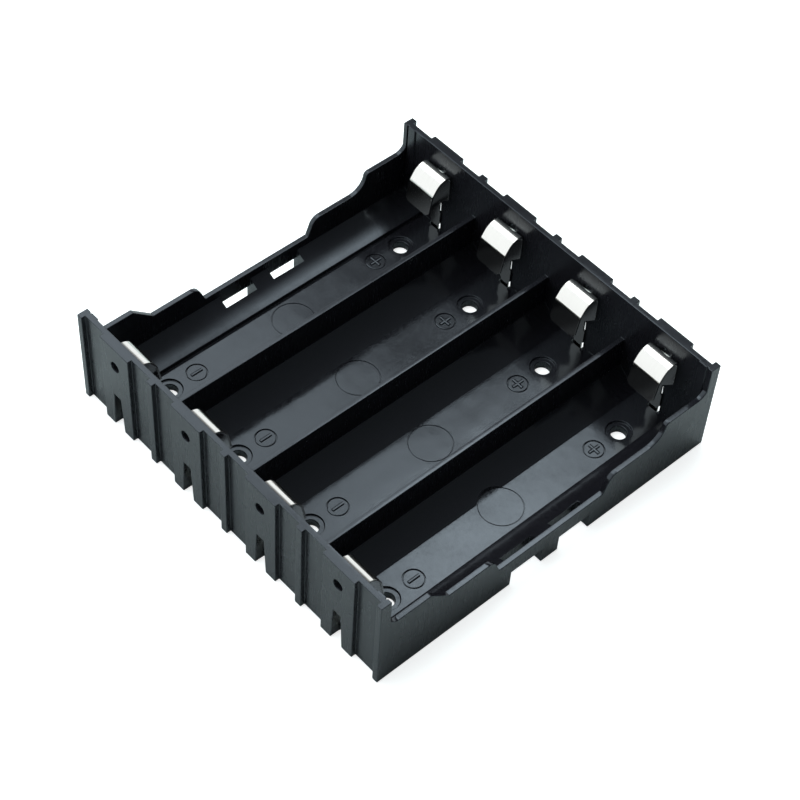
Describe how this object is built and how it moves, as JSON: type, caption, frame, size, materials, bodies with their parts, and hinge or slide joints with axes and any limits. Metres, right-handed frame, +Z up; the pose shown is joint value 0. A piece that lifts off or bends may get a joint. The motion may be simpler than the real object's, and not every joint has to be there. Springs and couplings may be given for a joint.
{
  "type": "cylindrical cell holder",
  "caption": "Open-topped moulded tray that holds cylindrical cells side by side between leaf contacts, with screw holes in its floor.",
  "frame": {"origin": "centre of the underside, midway between the end walls and the side walls", "axes": "+X across the bays to the side wall of bay 4, +Y along the cells to the end marked +, +Z up out of the open top"},
  "size_m": [0.0784, 0.077, 0.0212],
  "materials": {
    "moulded_plastic": "moulded black, half gloss",
    "plated_strip": "nickel-plated spring steel strip, bright"
  },
  "bodies": {
    "root": {"holder_body": "moulded_plastic", "contact_plus_1": "plated_strip", "contact_plus_2": "plated_strip", "contact_plus_3": "plated_strip", "contact_plus_4": "plated_strip", "contact_minus_1": "plated_strip", "contact_minus_2": "plated_strip", "contact_minus_3": "plated_strip", "contact_minus_4": "plated_strip"}
  },
  "joints": []
}
